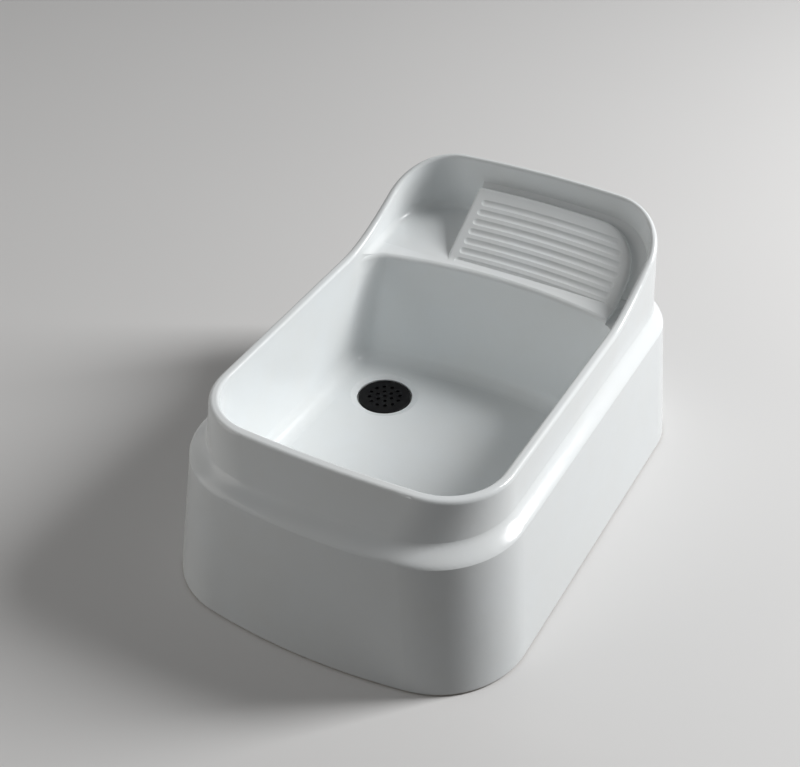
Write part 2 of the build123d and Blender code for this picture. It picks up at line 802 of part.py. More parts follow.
def outlet_nut():
    """Ribbed compression nut on the outlet socket."""
    y_from = SOCKET_END_Y - 14
    y_to = SOCKET_END_Y + 9
    lip = 3.0
    nut = along_pipe(NUT_RADIUS, SOCKET_RADIUS + 0.1, y_from, y_to - lip)
    nut = nut.fuse(along_pipe(NUT_RADIUS, PIPE_RADIUS + 0.4, y_to - lip, y_to))
    flute_count = 16
    for i in range(flute_count):
        angle = 2 * math.pi * (i + 0.5) / flute_count
        x = DRAIN_X + (NUT_RADIUS + 1.0) * math.cos(angle)
        z = OUTLET_Z + (NUT_RADIUS + 1.0) * math.sin(angle)
        place = Plane((x, y_from - 1, z), z_dir=(0, 1, 0))
        nut = nut - Solid.make_cylinder(2.2, y_to - y_from + 2, place)
    return nut


def outlet_pipe():
    """The waste pipe, with a stop bead behind the nut and a chamfered plain end."""
    bead_end = PIPE_BEAD_Y + PIPE_BEAD_LENGTH
    profile = [
        (PIPE_BORE, DRAIN_Y + TRAP_RADIUS + 6),
        (PIPE_RADIUS, DRAIN_Y + TRAP_RADIUS + 6),
        (PIPE_RADIUS, PIPE_BEAD_Y),
        (PIPE_BEAD_RADIUS, PIPE_BEAD_Y),
        (PIPE_BEAD_RADIUS, bead_end),
        (PIPE_RADIUS, bead_end),
        (PIPE_RADIUS, PIPE_END_Y - PIPE_CHAMFER_LENGTH),
        (PIPE_RADIUS - PIPE_CHAMFER, PIPE_END_Y),
        (PIPE_BORE, PIPE_END_Y),
    ]
    points = [Vector(radius, y, 0) for radius, y in profile]
    pipe = Solid.revolve(Face(Wire.make_polygon(points, close=True)), 360, Axis.Y)
    return pipe.moved(Location((DRAIN_X, 0, OUTLET_Z)))


def build():
    """All the separate pieces by name."""
    return {
        "basin_body": basin_body(),
        "strainer_cover": strainer_cover(),
        "dip_tube": dip_tube(),
        "dip_tube_o_ring": dip_tube_o_ring(),
        "seal_cup": seal_cup(),
        "waste_flange": waste_flange(),
        "flange_gasket": ring(FLANGE_RADIUS, WASTE_HOLE_RADIUS + 0.3, RECESS_Z, FLANGE_BOTTOM_Z),
        "trap_gasket": ring(TRAP_RADIUS, WASTE_HOLE_RADIUS + 0.8, TRAP_TOP_Z, BOSS_Z),
        "trap_body": trap_body(),
        "outlet_nut": outlet_nut(),
        "slip_ring": along_pipe(SOCKET_RADIUS - 0.3, PIPE_RADIUS, SOCKET_END_Y + 4.5, SOCKET_END_Y + 6),
        "outlet_seal": along_pipe(SOCKET_RADIUS - 0.3, PIPE_RADIUS, SOCKET_END_Y, SOCKET_END_Y + 4.5),
        "outlet_pipe": outlet_pipe(),
    }


os.makedirs("parts", exist_ok=True)
for name, shape in build().items():
    export_step(shape, f"parts/{name}.step")
    print(name, round(shape.volume / 1000, 1), "cm3", len(shape.faces()), "faces")
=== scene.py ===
"""The looks of a white fireclay foot wash basin and its lift-out waste.

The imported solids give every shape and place. This file gives the basin its glaze and its bare
fireclay, eases the sharp edges of the moulded waste pieces, and sets up a plain pale studio.
Lengths are in metres.
"""

from __future__ import annotations

import logging
import math
from dataclasses import dataclass, field
from enum import Enum

import bmesh
import bpy
import numpy as np
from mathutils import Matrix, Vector
from mathutils.bvhtree import BVHTree


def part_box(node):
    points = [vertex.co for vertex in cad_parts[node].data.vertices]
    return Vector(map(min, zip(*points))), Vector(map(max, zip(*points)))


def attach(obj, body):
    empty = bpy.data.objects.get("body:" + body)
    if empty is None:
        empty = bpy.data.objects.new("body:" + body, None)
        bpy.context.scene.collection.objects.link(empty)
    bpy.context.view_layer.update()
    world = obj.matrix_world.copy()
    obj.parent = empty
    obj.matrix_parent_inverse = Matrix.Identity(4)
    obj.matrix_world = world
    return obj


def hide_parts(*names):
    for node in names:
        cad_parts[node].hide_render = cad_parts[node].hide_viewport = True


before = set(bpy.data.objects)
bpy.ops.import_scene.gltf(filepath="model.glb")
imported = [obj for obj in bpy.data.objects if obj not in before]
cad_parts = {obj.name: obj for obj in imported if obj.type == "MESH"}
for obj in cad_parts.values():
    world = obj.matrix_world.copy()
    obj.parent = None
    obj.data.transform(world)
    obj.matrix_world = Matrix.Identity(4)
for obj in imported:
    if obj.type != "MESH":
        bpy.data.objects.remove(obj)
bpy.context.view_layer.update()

LOG = logging.getLogger("foot_wash_basin")

Colour = tuple[float, float, float]
Point = tuple[float, float, float]
Socket = bpy.types.NodeSocket

# Nearly all of a noise's values lie in this range.
NOISE_LOW = 0.3
NOISE_HIGH = 0.7

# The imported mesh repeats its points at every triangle. This joins them, in metres.
MERGE_DISTANCE = 2e-6
FLAT_ANGLE = math.radians(0.6)
SHARP_ANGLE = math.radians(35.0)
EASING_SEGMENTS = 2
LARGE_FACE_WEIGHT = 80


class Grain(Enum):
    """How the skin of a moulded or drawn piece looks close up."""

    SPARKED = "fine even grain from a spark-eroded mould"
    POLISHED = "nearly smooth, with a little flow unevenness"
    DRAWN = "long faint lines along the pipe"


class Body(Enum):
    """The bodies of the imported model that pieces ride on."""

    BASIN = "basin"
    INSERT = "strainer_insert"


@dataclass(frozen=True)
class GlazeFinish:
    """White glaze fired on fireclay. A speck's radius and share are shares of its cell's."""

    colour: Colour = (0.83, 0.86, 0.87)
    thin_colour: Colour = (0.80, 0.80, 0.77)
    thin_from: float = 0.1
    thin_share: float = 0.22
    roughness: float = 0.18
    rougher: float = 0.23
    shine_size: float = 0.06
    wave_size: float = 0.07
    wave_height: float = 0.0007
    peel_size: float = 0.013
    peel_height: float = 0.00004
    speck_colour: Colour = (0.42, 0.37, 0.31)
    speck_strength: float = 0.35
    speck_size: float = 0.009
    speck_share: float = 0.05
    speck_radius: float = 0.028
    speck_depth: float = 0.00006
    wiped_height: float = 0.0016
    ragged_size: float = 0.012
    ior: float = 1.46
    specular: float = 0.34
    coat: float = 0.05
    coat_roughness: float = 0.12


@dataclass(frozen=True)
class ClayFinish:
    """Bare fireclay, as left by the mould and the kiln."""

    pale: Colour = (0.66, 0.61, 0.53)
    dark: Colour = (0.50, 0.44, 0.36)
    grog: Colour = (0.33, 0.27, 0.21)
    grog_strength: float = 0.55
    grog_scale: float = 260.0
    grog_share: float = 0.35
    grog_radius: float = 0.24
    roughness: float = 0.82
    rougher: float = 0.95
    cast_size: float = 0.03
    cast_height: float = 0.0012
    grit_size: float = 0.0016
    grit_height: float = 0.00018


@dataclass(frozen=True)
class MouldedFinish:
    """A moulded or drawn plastic."""

    colour: Colour
    shade: Colour
    roughness: float
    rougher: float
    grain: Grain
    grain_size: float = 0.0007
    grain_height: float = 0.00002
    patch_scale: float = 70.0
    patch_height: float = 0.0001
    drawn_stretch: float = 0.02
    polished_share: float = 0.4
    edge_gain: float = 0.25
    edge_light: float = 0.3
    gloss: float = 0.5


@dataclass(frozen=True)
class RubberFinish:
    """Soft black rubber with a dusty bloom."""

    colour: Colour = (0.018, 0.018, 0.019)
    bloom: Colour = (0.060, 0.059, 0.057)
    bloom_scale: float = 160.0
    roughness: float = 0.62
    rougher: float = 0.80
    grain_size: float = 0.0006
    grain_height: float = 0.00004


@dataclass(frozen=True)
class SteelFinish:
    """Stainless steel turned on a lathe."""

    colour: Colour = (0.60, 0.59, 0.57)
    shade: Colour = (0.47, 0.46, 0.45)
    roughness: float = 0.20
    rougher: float = 0.36
    ring_pitch: float = 0.0005
    ring_height: float = 0.00002
    smudge_scale: float = 60.0


class NodeSheet:
    """Adds and joins the nodes of one material or node group."""

    def __init__(self, tree: bpy.types.NodeTree) -> None:
        """Takes the tree that the nodes go into.

        Args:
            tree: a material's node tree or a shader node group.
        """
        self.tree = tree

    def add(
        self, kind: str, values: dict[str | int, object] | None = None, **settings: object
    ) -> bpy.types.Node:
        """Adds one node.

        Args:
            kind: the node's type name.
            values: default values for its input sockets, by name or number.
            settings: properties of the node itself.

        Returns:
            The new node.
        """
        node = self.tree.nodes.new(kind)
        for name, value in settings.items():
            setattr(node, name, value)
        for socket, value in (values or {}).items():
            node.inputs[socket].default_value = value
        return node

    def join(self, source: Socket, target: Socket) -> None:
        """Links an output to an input."""
        self.tree.links.new(source, target)

    def noise(self, place: Socket, size: float, detail: float = 2.0) -> Socket:
        """Adds a noise whose blobs are about the given size.

        Args:
            place: the coordinates it reads.
            size: the width of a blob, in metres.
            detail: how many finer layers it carries.

        Returns:
            The noise's value socket.
        """
        node = self.add("ShaderNodeTexNoise", {"Scale": 1.0 / size, "Detail": detail})
        self.join(place, node.inputs["Vector"])
        return node.outputs[0]

    def remap(
        self, value: Socket, low: float, high: float, to_low: float, to_high: float
    ) -> Socket:
        """Maps a value from one range to another, held at its ends.

        Args:
            value: the socket that is mapped.
            low: the value that becomes to_low.
            high: the value that becomes to_high.
            to_low: the result at low.
            to_high: the result at high.

        Returns:
            The result's socket.
        """
        ends = {"From Min": low, "From Max": high, "To Min": to_low, "To Max": to_high}
        node = self.add("ShaderNodeMapRange", ends, clamp=True)
        self.join(value, node.inputs["Value"])
        return node.outputs["Result"]

    def spread(self, noise: Socket, least: float, most: float) -> Socket:
        """Spreads a noise over a range, such as a roughness from its least to its most."""
        return self.remap(noise, NOISE_LOW, NOISE_HIGH, least, most)

    def blend(self, share: Socket, first: Socket | Colour, second: Socket | Colour) -> Socket:
        """Mixes two colours.

        Args:
            share: how much of the second colour shows.
            first: a colour, or a socket that gives one.
            second: a colour, or a socket that gives one.

        Returns:
            The mixed colour's socket.
        """
        node = self.add("ShaderNodeMix", data_type="RGBA")
        self.join(share, node.inputs[0])
        for number, colour in ((6, first), (7, second)):
            if isinstance(colour, Socket):
                self.join(colour, node.inputs[number])
            else:
                node.inputs[number].default_value = (*colour, 1.0)
        return node.outputs[2]

    def combine(self, operation: str, first: Socket, second: Socket | float) -> Socket:
        """Joins two values by an operation such as ADD, MULTIPLY or MAXIMUM.

        Args:
            operation: the Math node's operation.
            first: a value's socket.
            second: a value's socket or a number.

        Returns:
            The result's socket.
        """
        node = self.add("ShaderNodeMath", operation=operation)
        self.join(first, node.inputs[0])
        if isinstance(second, Socket):
            self.join(second, node.inputs[1])
        else:
            node.inputs[1].default_value = second
        return node.outputs[0]

    def bump(self, height: Socket, distance: float, under: Socket | None = None) -> Socket:
        """Turns a height from 0 to 1 into a normal.

        Args:
            height: the height's socket.
            distance: how high 1 stands, in metres.
            under: the normal that this one is added to.

        Returns:
            The normal's socket.
        """
        node = self.add("ShaderNodeBump", {"Strength": 1.0, "Distance": distance})
        self.join(height, node.inputs["Height"])
        if under is not None:
            self.join(under, node.inputs["Normal"])
        return node.outputs["Normal"]


class SharedEffects:
    """The node groups that several finishes use."""

    fine_ratio = 3.7
    fine_share = 0.6
    patch_low = 0.55
    patch_high = 1.05
    rub_size = 0.006
    rub_low = 0.35
    rub_high = 0.6
    least_rub = 0.2

    def __init__(self) -> None:
        """Makes the groups once, for all the materials."""
        self.unevenness = self._unevenness()
        self.specks = self._specks()
        self.handling = self._handling()

    def _group(
        self, name: str, inputs: dict[str, tuple[str, float]], outputs: dict[str, str]
    ) -> tuple[bpy.types.NodeTree, NodeSheet, bpy.types.Node, bpy.types.Node]:
        """Starts a group with its sockets.

        Args:
            name: the group's name.
            inputs: socket types and starting values by name.
            outputs: socket types by name.

        Returns:
            The group, its sheet, its input node and its output node.
        """
        group = bpy.data.node_groups.new(name, "ShaderNodeTree")
        for label, (kind, value) in inputs.items():
            socket = group.interface.new_socket(name=label, in_out="INPUT", socket_type=kind)
            if kind == "NodeSocketFloat":
                socket.default_value = value
        for label, kind in outputs.items():
            group.interface.new_socket(name=label, in_out="OUTPUT", socket_type=kind)
        sheet = NodeSheet(group)
        return group, sheet, sheet.add("NodeGroupInput"), sheet.add("NodeGroupOutput")

    def _unevenness(self) -> bpy.types.NodeTree:
        """Broad soft patches and a finer layer, as a mask and as a height.

        Returns:
            The group, with outputs Patches and Height.
        """
        group, sheet, entry, leave = self._group(
            "soft_unevenness",
            {"Place": ("NodeSocketVector", 0.0), "Broad scale": ("NodeSocketFloat", 20.0)},
            {"Patches": "NodeSocketFloat", "Height": "NodeSocketFloat"},
        )
        broad = sheet.add("ShaderNodeTexNoise", {"Detail": 1.0, "Roughness": 0.4})
        fine = sheet.add("ShaderNodeTexNoise", {"Detail": 3.0, "Roughness": 0.5})
        for node in (broad, fine):
            sheet.join(entry.outputs["Place"], node.inputs["Vector"])
        sheet.join(entry.outputs["Broad scale"], broad.inputs["Scale"])
        finer = sheet.combine("MULTIPLY", entry.outputs["Broad scale"], self.fine_ratio)
        sheet.join(finer, fine.inputs["Scale"])
        sheet.join(broad.outputs[0], leave.inputs["Height"])
        weaker = sheet.combine("MULTIPLY", fine.outputs[0], self.fine_share)
        both = sheet.combine("ADD", broad.outputs[0], weaker)
        patches = sheet.remap(both, self.patch_low, self.patch_high, 0.0, 1.0)
        sheet.join(patches, leave.inputs["Patches"])
        return group

    def _specks(self) -> bpy.types.NodeTree:
        """Sparse round specks, of which a share of the cells has one.

        Returns:
            The group, with the output Mask.
        """
        group, sheet, entry, leave = self._group(
            "sparse_specks",
            {
                "Place": ("NodeSocketVector", 0.0),
                "Scale": ("NodeSocketFloat", 100.0),
                "Share": ("NodeSocketFloat", 0.1),
                "Radius": ("NodeSocketFloat", 0.08),
            },
            {"Mask": "NodeSocketFloat"},
        )
        cells = sheet.add("ShaderNodeTexVoronoi")
        sheet.join(entry.outputs["Place"], cells.inputs["Vector"])
        sheet.join(entry.outputs["Scale"], cells.inputs["Scale"])
        chosen = sheet.add("ShaderNodeSeparateColor")
        sheet.join(cells.outputs["Color"], chosen.inputs[0])
        has_one = sheet.combine("LESS_THAN", chosen.outputs[0], entry.outputs["Share"])
        near = sheet.combine("LESS_THAN", cells.outputs["Distance"], entry.outputs["Radius"])
        sheet.join(sheet.combine("MULTIPLY", has_one, near), leave.inputs["Mask"])
        return group

    def _handling(self) -> bpy.types.NodeTree:
        """The rub that handling leaves on edges, broken up by a noise.

        Returns:
            The group, with the output Mask.
        """
        group, sheet, entry, leave = self._group(
            "handled_edges", {"Place": ("NodeSocketVector", 0.0)}, {"Mask": "NodeSocketFloat"}
        )
        edge = sheet.add("ShaderNodeAttribute", attribute_name="eased_edge")
        rub = sheet.noise(entry.outputs["Place"], self.rub_size, 3.0)
        broken = sheet.remap(rub, self.rub_low, self.rub_high, self.least_rub, 1.0)
        sheet.join(sheet.combine("MULTIPLY", edge.outputs["Fac"], broken), leave.inputs["Mask"])
        return group


class FinishShop:
    """Makes the materials, each once."""

    def __init__(self, effects: SharedEffects) -> None:
        """Takes the shared groups.

        Args:
            effects: the node groups that the finishes use.
        """
        self.effects = effects

    def _start(
        self, name: str
    ) -> tuple[bpy.types.Material, NodeSheet, bpy.types.Node, Socket]:
        """Starts a material.

        Args:
            name: the material's name.

        Returns:
            The material, its sheet, its shader node and its Object coordinates.
        """
        material = bpy.data.materials.new(name)
        material.use_nodes = True
        sheet = NodeSheet(material.node_tree)
        shader = material.node_tree.nodes["Principled BSDF"]
        place = sheet.add("ShaderNodeTexCoord").outputs["Object"]
        return material, sheet, shader, place

    def _use(
        self, sheet: NodeSheet, group: bpy.types.NodeTree, place: Socket, **values: float
    ) -> bpy.types.Node:
        """Adds a shared group to a material.

        Args:
            sheet: the material's sheet.
            group: the shared group.
            place: the coordinates it reads.
            values: its other inputs, with _ for a space.

        Returns:
            The group's node.
        """
        node = sheet.add("ShaderNodeGroup", node_tree=group)
        sheet.join(place, node.inputs["Place"])
        for label, value in values.items():
            node.inputs[label.replace("_", " ")].default_value = value
        return node

    def glaze(self, finish: GlazeFinish, clay: ClayFinish) -> bpy.types.Material:
        """White glaze: gently wavy, faintly pitted, with a few specks and a wiped foot.

        Args:
            finish: the glaze's colours and sizes.
            clay: the bare clay that shows where the foot was wiped.

        Returns:
            The material.
        """
        material, sheet, shader, place = self._start("white_fireclay_glaze")
        waves = self._use(
            sheet, self.effects.unevenness, place, Broad_scale=1.0 / finish.wave_size
        )
        specks = self._use(
            sheet,
            self.effects.specks,
            place,
            Scale=1.0 / finish.speck_size,
            Share=finish.speck_share,
            Radius=finish.speck_radius,
        ).outputs["Mask"]
        thin = sheet.remap(
            waves.outputs["Patches"], finish.thin_from, 1.0, 0.0, finish.thin_share
        )
        colour = sheet.blend(thin, finish.colour, finish.thin_colour)
        spotted = sheet.combine("MULTIPLY", specks, finish.speck_strength)
        colour = sheet.blend(spotted, colour, finish.speck_colour)
        wiped = self._wiped_foot(sheet, place, finish)
        colour = sheet.blend(wiped, colour, clay.pale)
        sheet.join(colour, shader.inputs["Base Color"])
        shine = sheet.spread(
            sheet.noise(place, finish.shine_size, 1.0), finish.roughness, finish.rougher
        )
        rough_foot = sheet.combine("MULTIPLY", wiped, clay.roughness)
        sheet.join(sheet.combine("MAXIMUM", shine, rough_foot), shader.inputs["Roughness"])
        relief = sheet.bump(waves.outputs["Height"], finish.wave_height)
        peel = sheet.noise(place, finish.peel_size, 1.0)
        relief = sheet.bump(peel, finish.peel_height, relief)
        pits = sheet.combine("MULTIPLY", specks, -1.0)
        relief = sheet.bump(pits, finish.speck_depth, relief)
        sheet.join(relief, shader.inputs["Normal"])
        shader.inputs["IOR"].default_value = finish.ior
        shader.inputs["Specular IOR Level"].default_value = finish.specular
        shader.inputs["Coat Weight"].default_value = finish.coat
        shader.inputs["Coat Roughness"].default_value = finish.coat_roughness
        return material

    def _wiped_foot(self, sheet: NodeSheet, place: Socket, finish: GlazeFinish) -> Socket:
        """Marks the strip above the floor that is wiped clean of glaze before firing.

        Args:
            sheet: the glaze's sheet.
            place: the coordinates it reads.
            finish: the glaze, with the strip's height.

        Returns:
            A mask, 1 where the clay is bare.
        """
        split = sheet.add("ShaderNodeSeparateXYZ")
        sheet.join(place, split.inputs[0])
        ragged = sheet.noise(place, finish.ragged_size, 3.0)
        edge = sheet.combine("MULTIPLY", ragged, finish.wiped_height)
        above = sheet.combine("SUBTRACT", split.outputs[2], edge)
        return sheet.remap(above, finish.wiped_height / 2, finish.wiped_height, 1.0, 0.0)

    def clay(self, finish: ClayFinish) -> bpy.types.Material:
        """Bare fireclay: buff, blotchy from the mould, gritty, with dark grog grains.

        Args:
            finish: the clay's colours and sizes.

        Returns:
            The material.
        """
        material, sheet, shader, place = self._start("bare_fireclay")
        cast = self._use(sheet, self.effects.unevenness, place, Broad_scale=1.0 / finish.cast_size)
        grog = self._use(
            sheet,
            self.effects.specks,
            place,
            Scale=finish.grog_scale,
            Share=finish.grog_share,
            Radius=finish.grog_radius,
        )
        colour = sheet.blend(cast.outputs["Patches"], finish.pale, finish.dark)
        grains = sheet.combine("MULTIPLY", grog.outputs["Mask"], finish.grog_strength)
        colour = sheet.blend(grains, colour, finish.grog)
        sheet.join(colour, shader.inputs["Base Color"])
        grit = sheet.noise(place, finish.grit_size, 3.0)
        rough = sheet.spread(grit, finish.roughness, finish.rougher)
        sheet.join(rough, shader.inputs["Roughness"])
        relief = sheet.bump(cast.outputs["Height"], finish.cast_height)
        sheet.join(sheet.bump(grit, finish.grit_height, relief), shader.inputs["Normal"])
        return material

    def moulded(self, name: str, finish: MouldedFinish) -> bpy.types.Material:
        """A plastic with its own grain, shade and handled edges.

        Args:
            name: the material's name.
            finish: the plastic's colours and sizes.

        Returns:
            The material.
        """
        material, sheet, shader, place = self._start(name)
        grain_place = place
        if finish.grain is Grain.DRAWN:
            stretch = sheet.add("ShaderNodeMapping", {"Scale": (1.0, finish.drawn_stretch, 1.0)})
            sheet.join(place, stretch.inputs["Vector"])
            grain_place = stretch.outputs["Vector"]
        patches = self._use(
            sheet, self.effects.unevenness, grain_place, Broad_scale=finish.patch_scale
        )
        handled = self._use(sheet, self.effects.handling, place)
        colour = sheet.blend(patches.outputs["Patches"], finish.colour, finish.shade)
        lighter = tuple(
            min(1.0, c + finish.edge_gain * (1.0 - c) * finish.edge_light) for c in finish.colour
        )
        rubbed = sheet.combine("MULTIPLY", handled.outputs["Mask"], finish.edge_gain)
        colour = sheet.blend(rubbed, colour, lighter)
        sheet.join(colour, shader.inputs["Base Color"])
        grain = sheet.noise(grain_place, finish.grain_size, 2.0)
        rough = sheet.spread(grain, finish.roughness, finish.rougher)
        sheet.join(rough, shader.inputs["Roughness"])
        depth = finish.grain_height
        if finish.grain is Grain.POLISHED:
            depth = finish.grain_height * finish.polished_share
        relief = sheet.bump(patches.outputs["Height"], finish.patch_height)
        sheet.join(sheet.bump(grain, depth, relief), shader.inputs["Normal"])
        shader.inputs["Specular IOR Level"].default_value = finish.gloss
        return material

    def rubber(self, finish: RubberFinish) -> bpy.types.Material:
        """Black rubber, dull, with bloom in patches.

        Args:
            finish: the rubber's colours and roughness.

        Returns:
            The material.
        """
        material, sheet, shader, place = self._start("seal_rubber_black")
        bloom = self._use(
            sheet, self.effects.unevenness, place, Broad_scale=finish.bloom_scale
        )
        colour = sheet.blend(bloom.outputs["Patches"], finish.colour, finish.bloom)
        sheet.join(colour, shader.inputs["Base Color"])
        grain = sheet.noise(place, finish.grain_size, 3.0)
        rough = sheet.spread(grain, finish.roughness, finish.rougher)
        sheet.join(rough, shader.inputs["Roughness"])
        sheet.join(sheet.bump(grain, finish.grain_height), shader.inputs["Normal"])
        return material

    def steel(self, finish: SteelFinish, axis: Vector) -> bpy.types.Material:
        """Turned stainless steel, with fine rings about the drain's axis.

        Args:
            finish: the steel's colours and sizes.
            axis: a point on the axis that it was turned about.

        Returns:
            The material.
        """
        material, sheet, shader, place = self._start("turned_stainless_steel")
        centre = sheet.add("ShaderNodeMapping", {"Location": (-axis.x, -axis.y, 0.0)})
        sheet.join(place, centre.inputs["Vector"])
        flat = sheet.add("ShaderNodeVectorMath", {1: (1.0, 1.0, 0.0)}, operation="MULTIPLY")
        sheet.join(centre.outputs["Vector"], flat.inputs[0])
        radius = sheet.add("ShaderNodeVectorMath", operation="LENGTH")
        sheet.join(flat.outputs["Vector"], radius.inputs[0])
        height = sheet.add("ShaderNodeSeparateXYZ")
        sheet.join(place, height.inputs[0])
        along = sheet.add("ShaderNodeCombineXYZ")
        sheet.join(radius.outputs["Value"], along.inputs[0])
        sheet.join(height.outputs[2], along.inputs[1])
        rings = sheet.noise(along.outputs[0], finish.ring_pitch, 2.0)
        smudge = self._use(
            sheet, self.effects.unevenness, place, Broad_scale=finish.smudge_scale
        )
        colour = sheet.blend(smudge.outputs["Patches"], finish.colour, finish.shade)
        sheet.join(colour, shader.inputs["Base Color"])
        rough = sheet.spread(rings, finish.roughness, finish.rougher)
        sheet.join(rough, shader.inputs["Roughness"])
        sheet.join(sheet.bump(rings, finish.ring_height), shader.inputs["Normal"])
        shader.inputs["Metallic"].default_value = 1.0
        return material


def merged_copy(node: str, name: str) -> bpy.types.Object:
    """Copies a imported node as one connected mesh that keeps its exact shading.

    Args:
        node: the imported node's name.
        name: the new piece's name.

    Returns:
        The new object, at the origin.
    """
    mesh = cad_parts[node].data.copy()
    mesh.name = name
    mesh.materials.clear()
    normals = np.empty(len(mesh.loops) * 3, np.float32)
    mesh.corner_normals.foreach_get("vector", normals)
    kept = mesh.attributes.new("exact_normal", "FLOAT_VECTOR", "CORNER")
    kept.data.foreach_set("vector", normals)
    edit = bmesh.new()
    edit.from_mesh(mesh)
    bmesh.ops.remove_doubles(edit, verts=edit.verts[:], dist=MERGE_DISTANCE)
    edit.to_mesh(mesh)
    edit.free()
    piece = bpy.data.objects.new(name, mesh)
    bpy.context.scene.collection.objects.link(piece)
    return piece


def restore_shading(mesh: bpy.types.Mesh) -> None:
    """Gives a merged copy the shading that its node had.

    Args:
        mesh: a mesh that carries the exact_normal attribute.
    """
    mesh.shade_smooth()
    kept = mesh.attributes["exact_normal"]
    normals = np.empty(len(mesh.loops) * 3, np.float32)
    kept.data.foreach_get("vector", normals)
    mesh.attributes.remove(kept)
    mesh.normals_split_custom_set(normals.reshape(-1, 3).tolist())


def eased_copy(
    node: str, name: str, width: float, material: bpy.types.Material
) -> bpy.types.Object:
    """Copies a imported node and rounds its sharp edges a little, as a mould or a tool leaves them.

    Args:
        node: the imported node's name.
        name: the new piece's name.
        width: how far the rounding reaches from an edge.
        material: the piece's finish.

    Returns:
        The new object, at the origin.
    """
    piece = merged_copy(node, name)
    mesh = piece.data
    mesh.attributes.remove(mesh.attributes["exact_normal"])
    edit = bmesh.new()
    edit.from_mesh(mesh)
    bmesh.ops.dissolve_limit(
        edit, angle_limit=FLAT_ANGLE, verts=edit.verts[:], edges=edit.edges[:], delimit=set()
    )
    mark = edit.faces.layers.float.new("eased_edge")
    sharp = [e for e in edit.edges if e.is_manifold and e.calc_face_angle(0.0) > SHARP_ANGLE]
    made = bmesh.ops.bevel(
        edit,
        geom=sharp,
        affect="EDGES",
        offset=width,
        offset_type="OFFSET",
        segments=EASING_SEGMENTS,
        profile=0.5,
        clamp_overlap=True,
        material=-1,
    )
    for face in made["faces"]:
        face[mark] = 1.0
    for face in edit.faces:
        face.smooth = True
    edit.to_mesh(mesh)
    edit.free()
    mesh.materials.append(material)
    weigh = piece.modifiers.new("even_shading", "WEIGHTED_NORMAL")
    weigh.mode = "FACE_AREA"
    weigh.weight = LARGE_FACE_WEIGHT
    weigh.keep_sharp = False
    return piece


@dataclass
class GlazedBasin:
    """The fireclay casting: glazed where a hand or the eye reaches, bare below."""

    body: Body = Body.BASIN
    node: str = "basin_body"
    lift: float = 0.0004
    reach: float = 0.6
    hollow_height: float = 0.185

    def build(self, glaze: bpy.types.Material, clay: bpy.types.Material) -> bpy.types.Object:
        """Copies the casting and parts its glazed skin from its bare skin.

        Args:
            glaze: the finish of the skin that has open air above it.
            clay: the finish of the covered skin.

        Returns:
            The basin piece.
        """
        piece = merged_copy(self.node, "glazed_basin")
        mesh = piece.data
        mesh.materials.append(glaze)
        mesh.materials.append(clay)
        edit = bmesh.new()
        edit.from_mesh(mesh)
        tree = BVHTree.FromBMesh(edit)
        bare = [self._is_bare(tree, face) for face in edit.faces]
        edit.free()
        mesh.polygons.foreach_set("material_index", np.array(bare, np.int32))
        restore_shading(mesh)
        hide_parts(self.node)
        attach(piece, self.body.value)
        LOG.info("%s: %d of %d faces bare", piece.name, sum(bare), len(bare))
        return piece

    def _is_bare(self, tree: BVHTree, face: bmesh.types.BMFace) -> bool:
        """Tells a face of the hollow: the casting is above it, and it is low or has air below.

        Args:
            tree: the whole casting.
            face: the face that is tested.

        Returns:
            Whether the glaze leaves the face out.
        """
        start = face.calc_center_median() + face.normal * self.lift
        covered = tree.ray_cast(start, Vector((0.0, 0.0, 1.0)), self.reach)[0] is not None
        floored = tree.ray_cast(start, Vector((0.0, 0.0, -1.0)), self.reach)[0] is not None
        return covered and (start.z < self.hollow_height or not floored)


@dataclass(frozen=True)
class WastePiece:
    """One piece of the waste. A piece with an edge width is replaced by an eased copy."""

    node: str
    finish: str
    edge: float = 0.0
    slot: str = ""


@dataclass
class WasteGroup:
    """Waste pieces that ride on one body."""

    body: Body
    pieces: list[WastePiece]

    def dress(self, finishes: dict[str, bpy.types.Material]) -> None:
        """Gives each piece its finish, and eases the edges of those that show.

        Args:
            finishes: the materials by their short names.
        """
        for part in self.pieces:
            material = finishes[part.finish]
            if part.edge > 0.0:
                piece = eased_copy(part.node, f"eased_{part.node}", part.edge, material)
                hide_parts(part.node)
                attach(piece, self.body.value)
                LOG.info("%s: %d faces, eased", piece.name, len(piece.data.polygons))
                continue
            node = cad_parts[part.node]
            node.data.materials.clear()
            node.data.materials.append(material)
            LOG.info("%s: finished as %s", part.node, part.finish)


@dataclass
class LiftOutInsert(WasteGroup):
    """The strainer and water seal that lift out of the drain together."""

    body: Body = Body.INSERT
    pieces: list[WastePiece] = field(
        default_factory=lambda: [
            WastePiece("strainer_cover", "cover", 0.00035, "cover_plastic"),
            WastePiece("dip_tube", "insert"),
            WastePiece("dip_tube_o_ring", "rubber"),
            WastePiece("seal_cup", "insert"),
        ]
    )


@dataclass
class FixedWaste(WasteGroup):
    """The flange, trap and pipe below the bowl."""

    body: Body = Body.BASIN
    pieces: list[WastePiece] = field(
        default_factory=lambda: [
            WastePiece("waste_flange", "steel"),
            WastePiece("flange_gasket", "rubber"),
            WastePiece("trap_gasket", "rubber"),
            WastePiece("trap_body", "trap", 0.0006, "trap_plastic"),
            WastePiece("outlet_nut", "nut", 0.0005, "nut_plastic"),
            WastePiece("slip_ring", "slip"),
            WastePiece("outlet_seal", "rubber"),
            WastePiece("outlet_pipe", "pipe", 0.0003, "pipe_plastic"),
        ]
    )


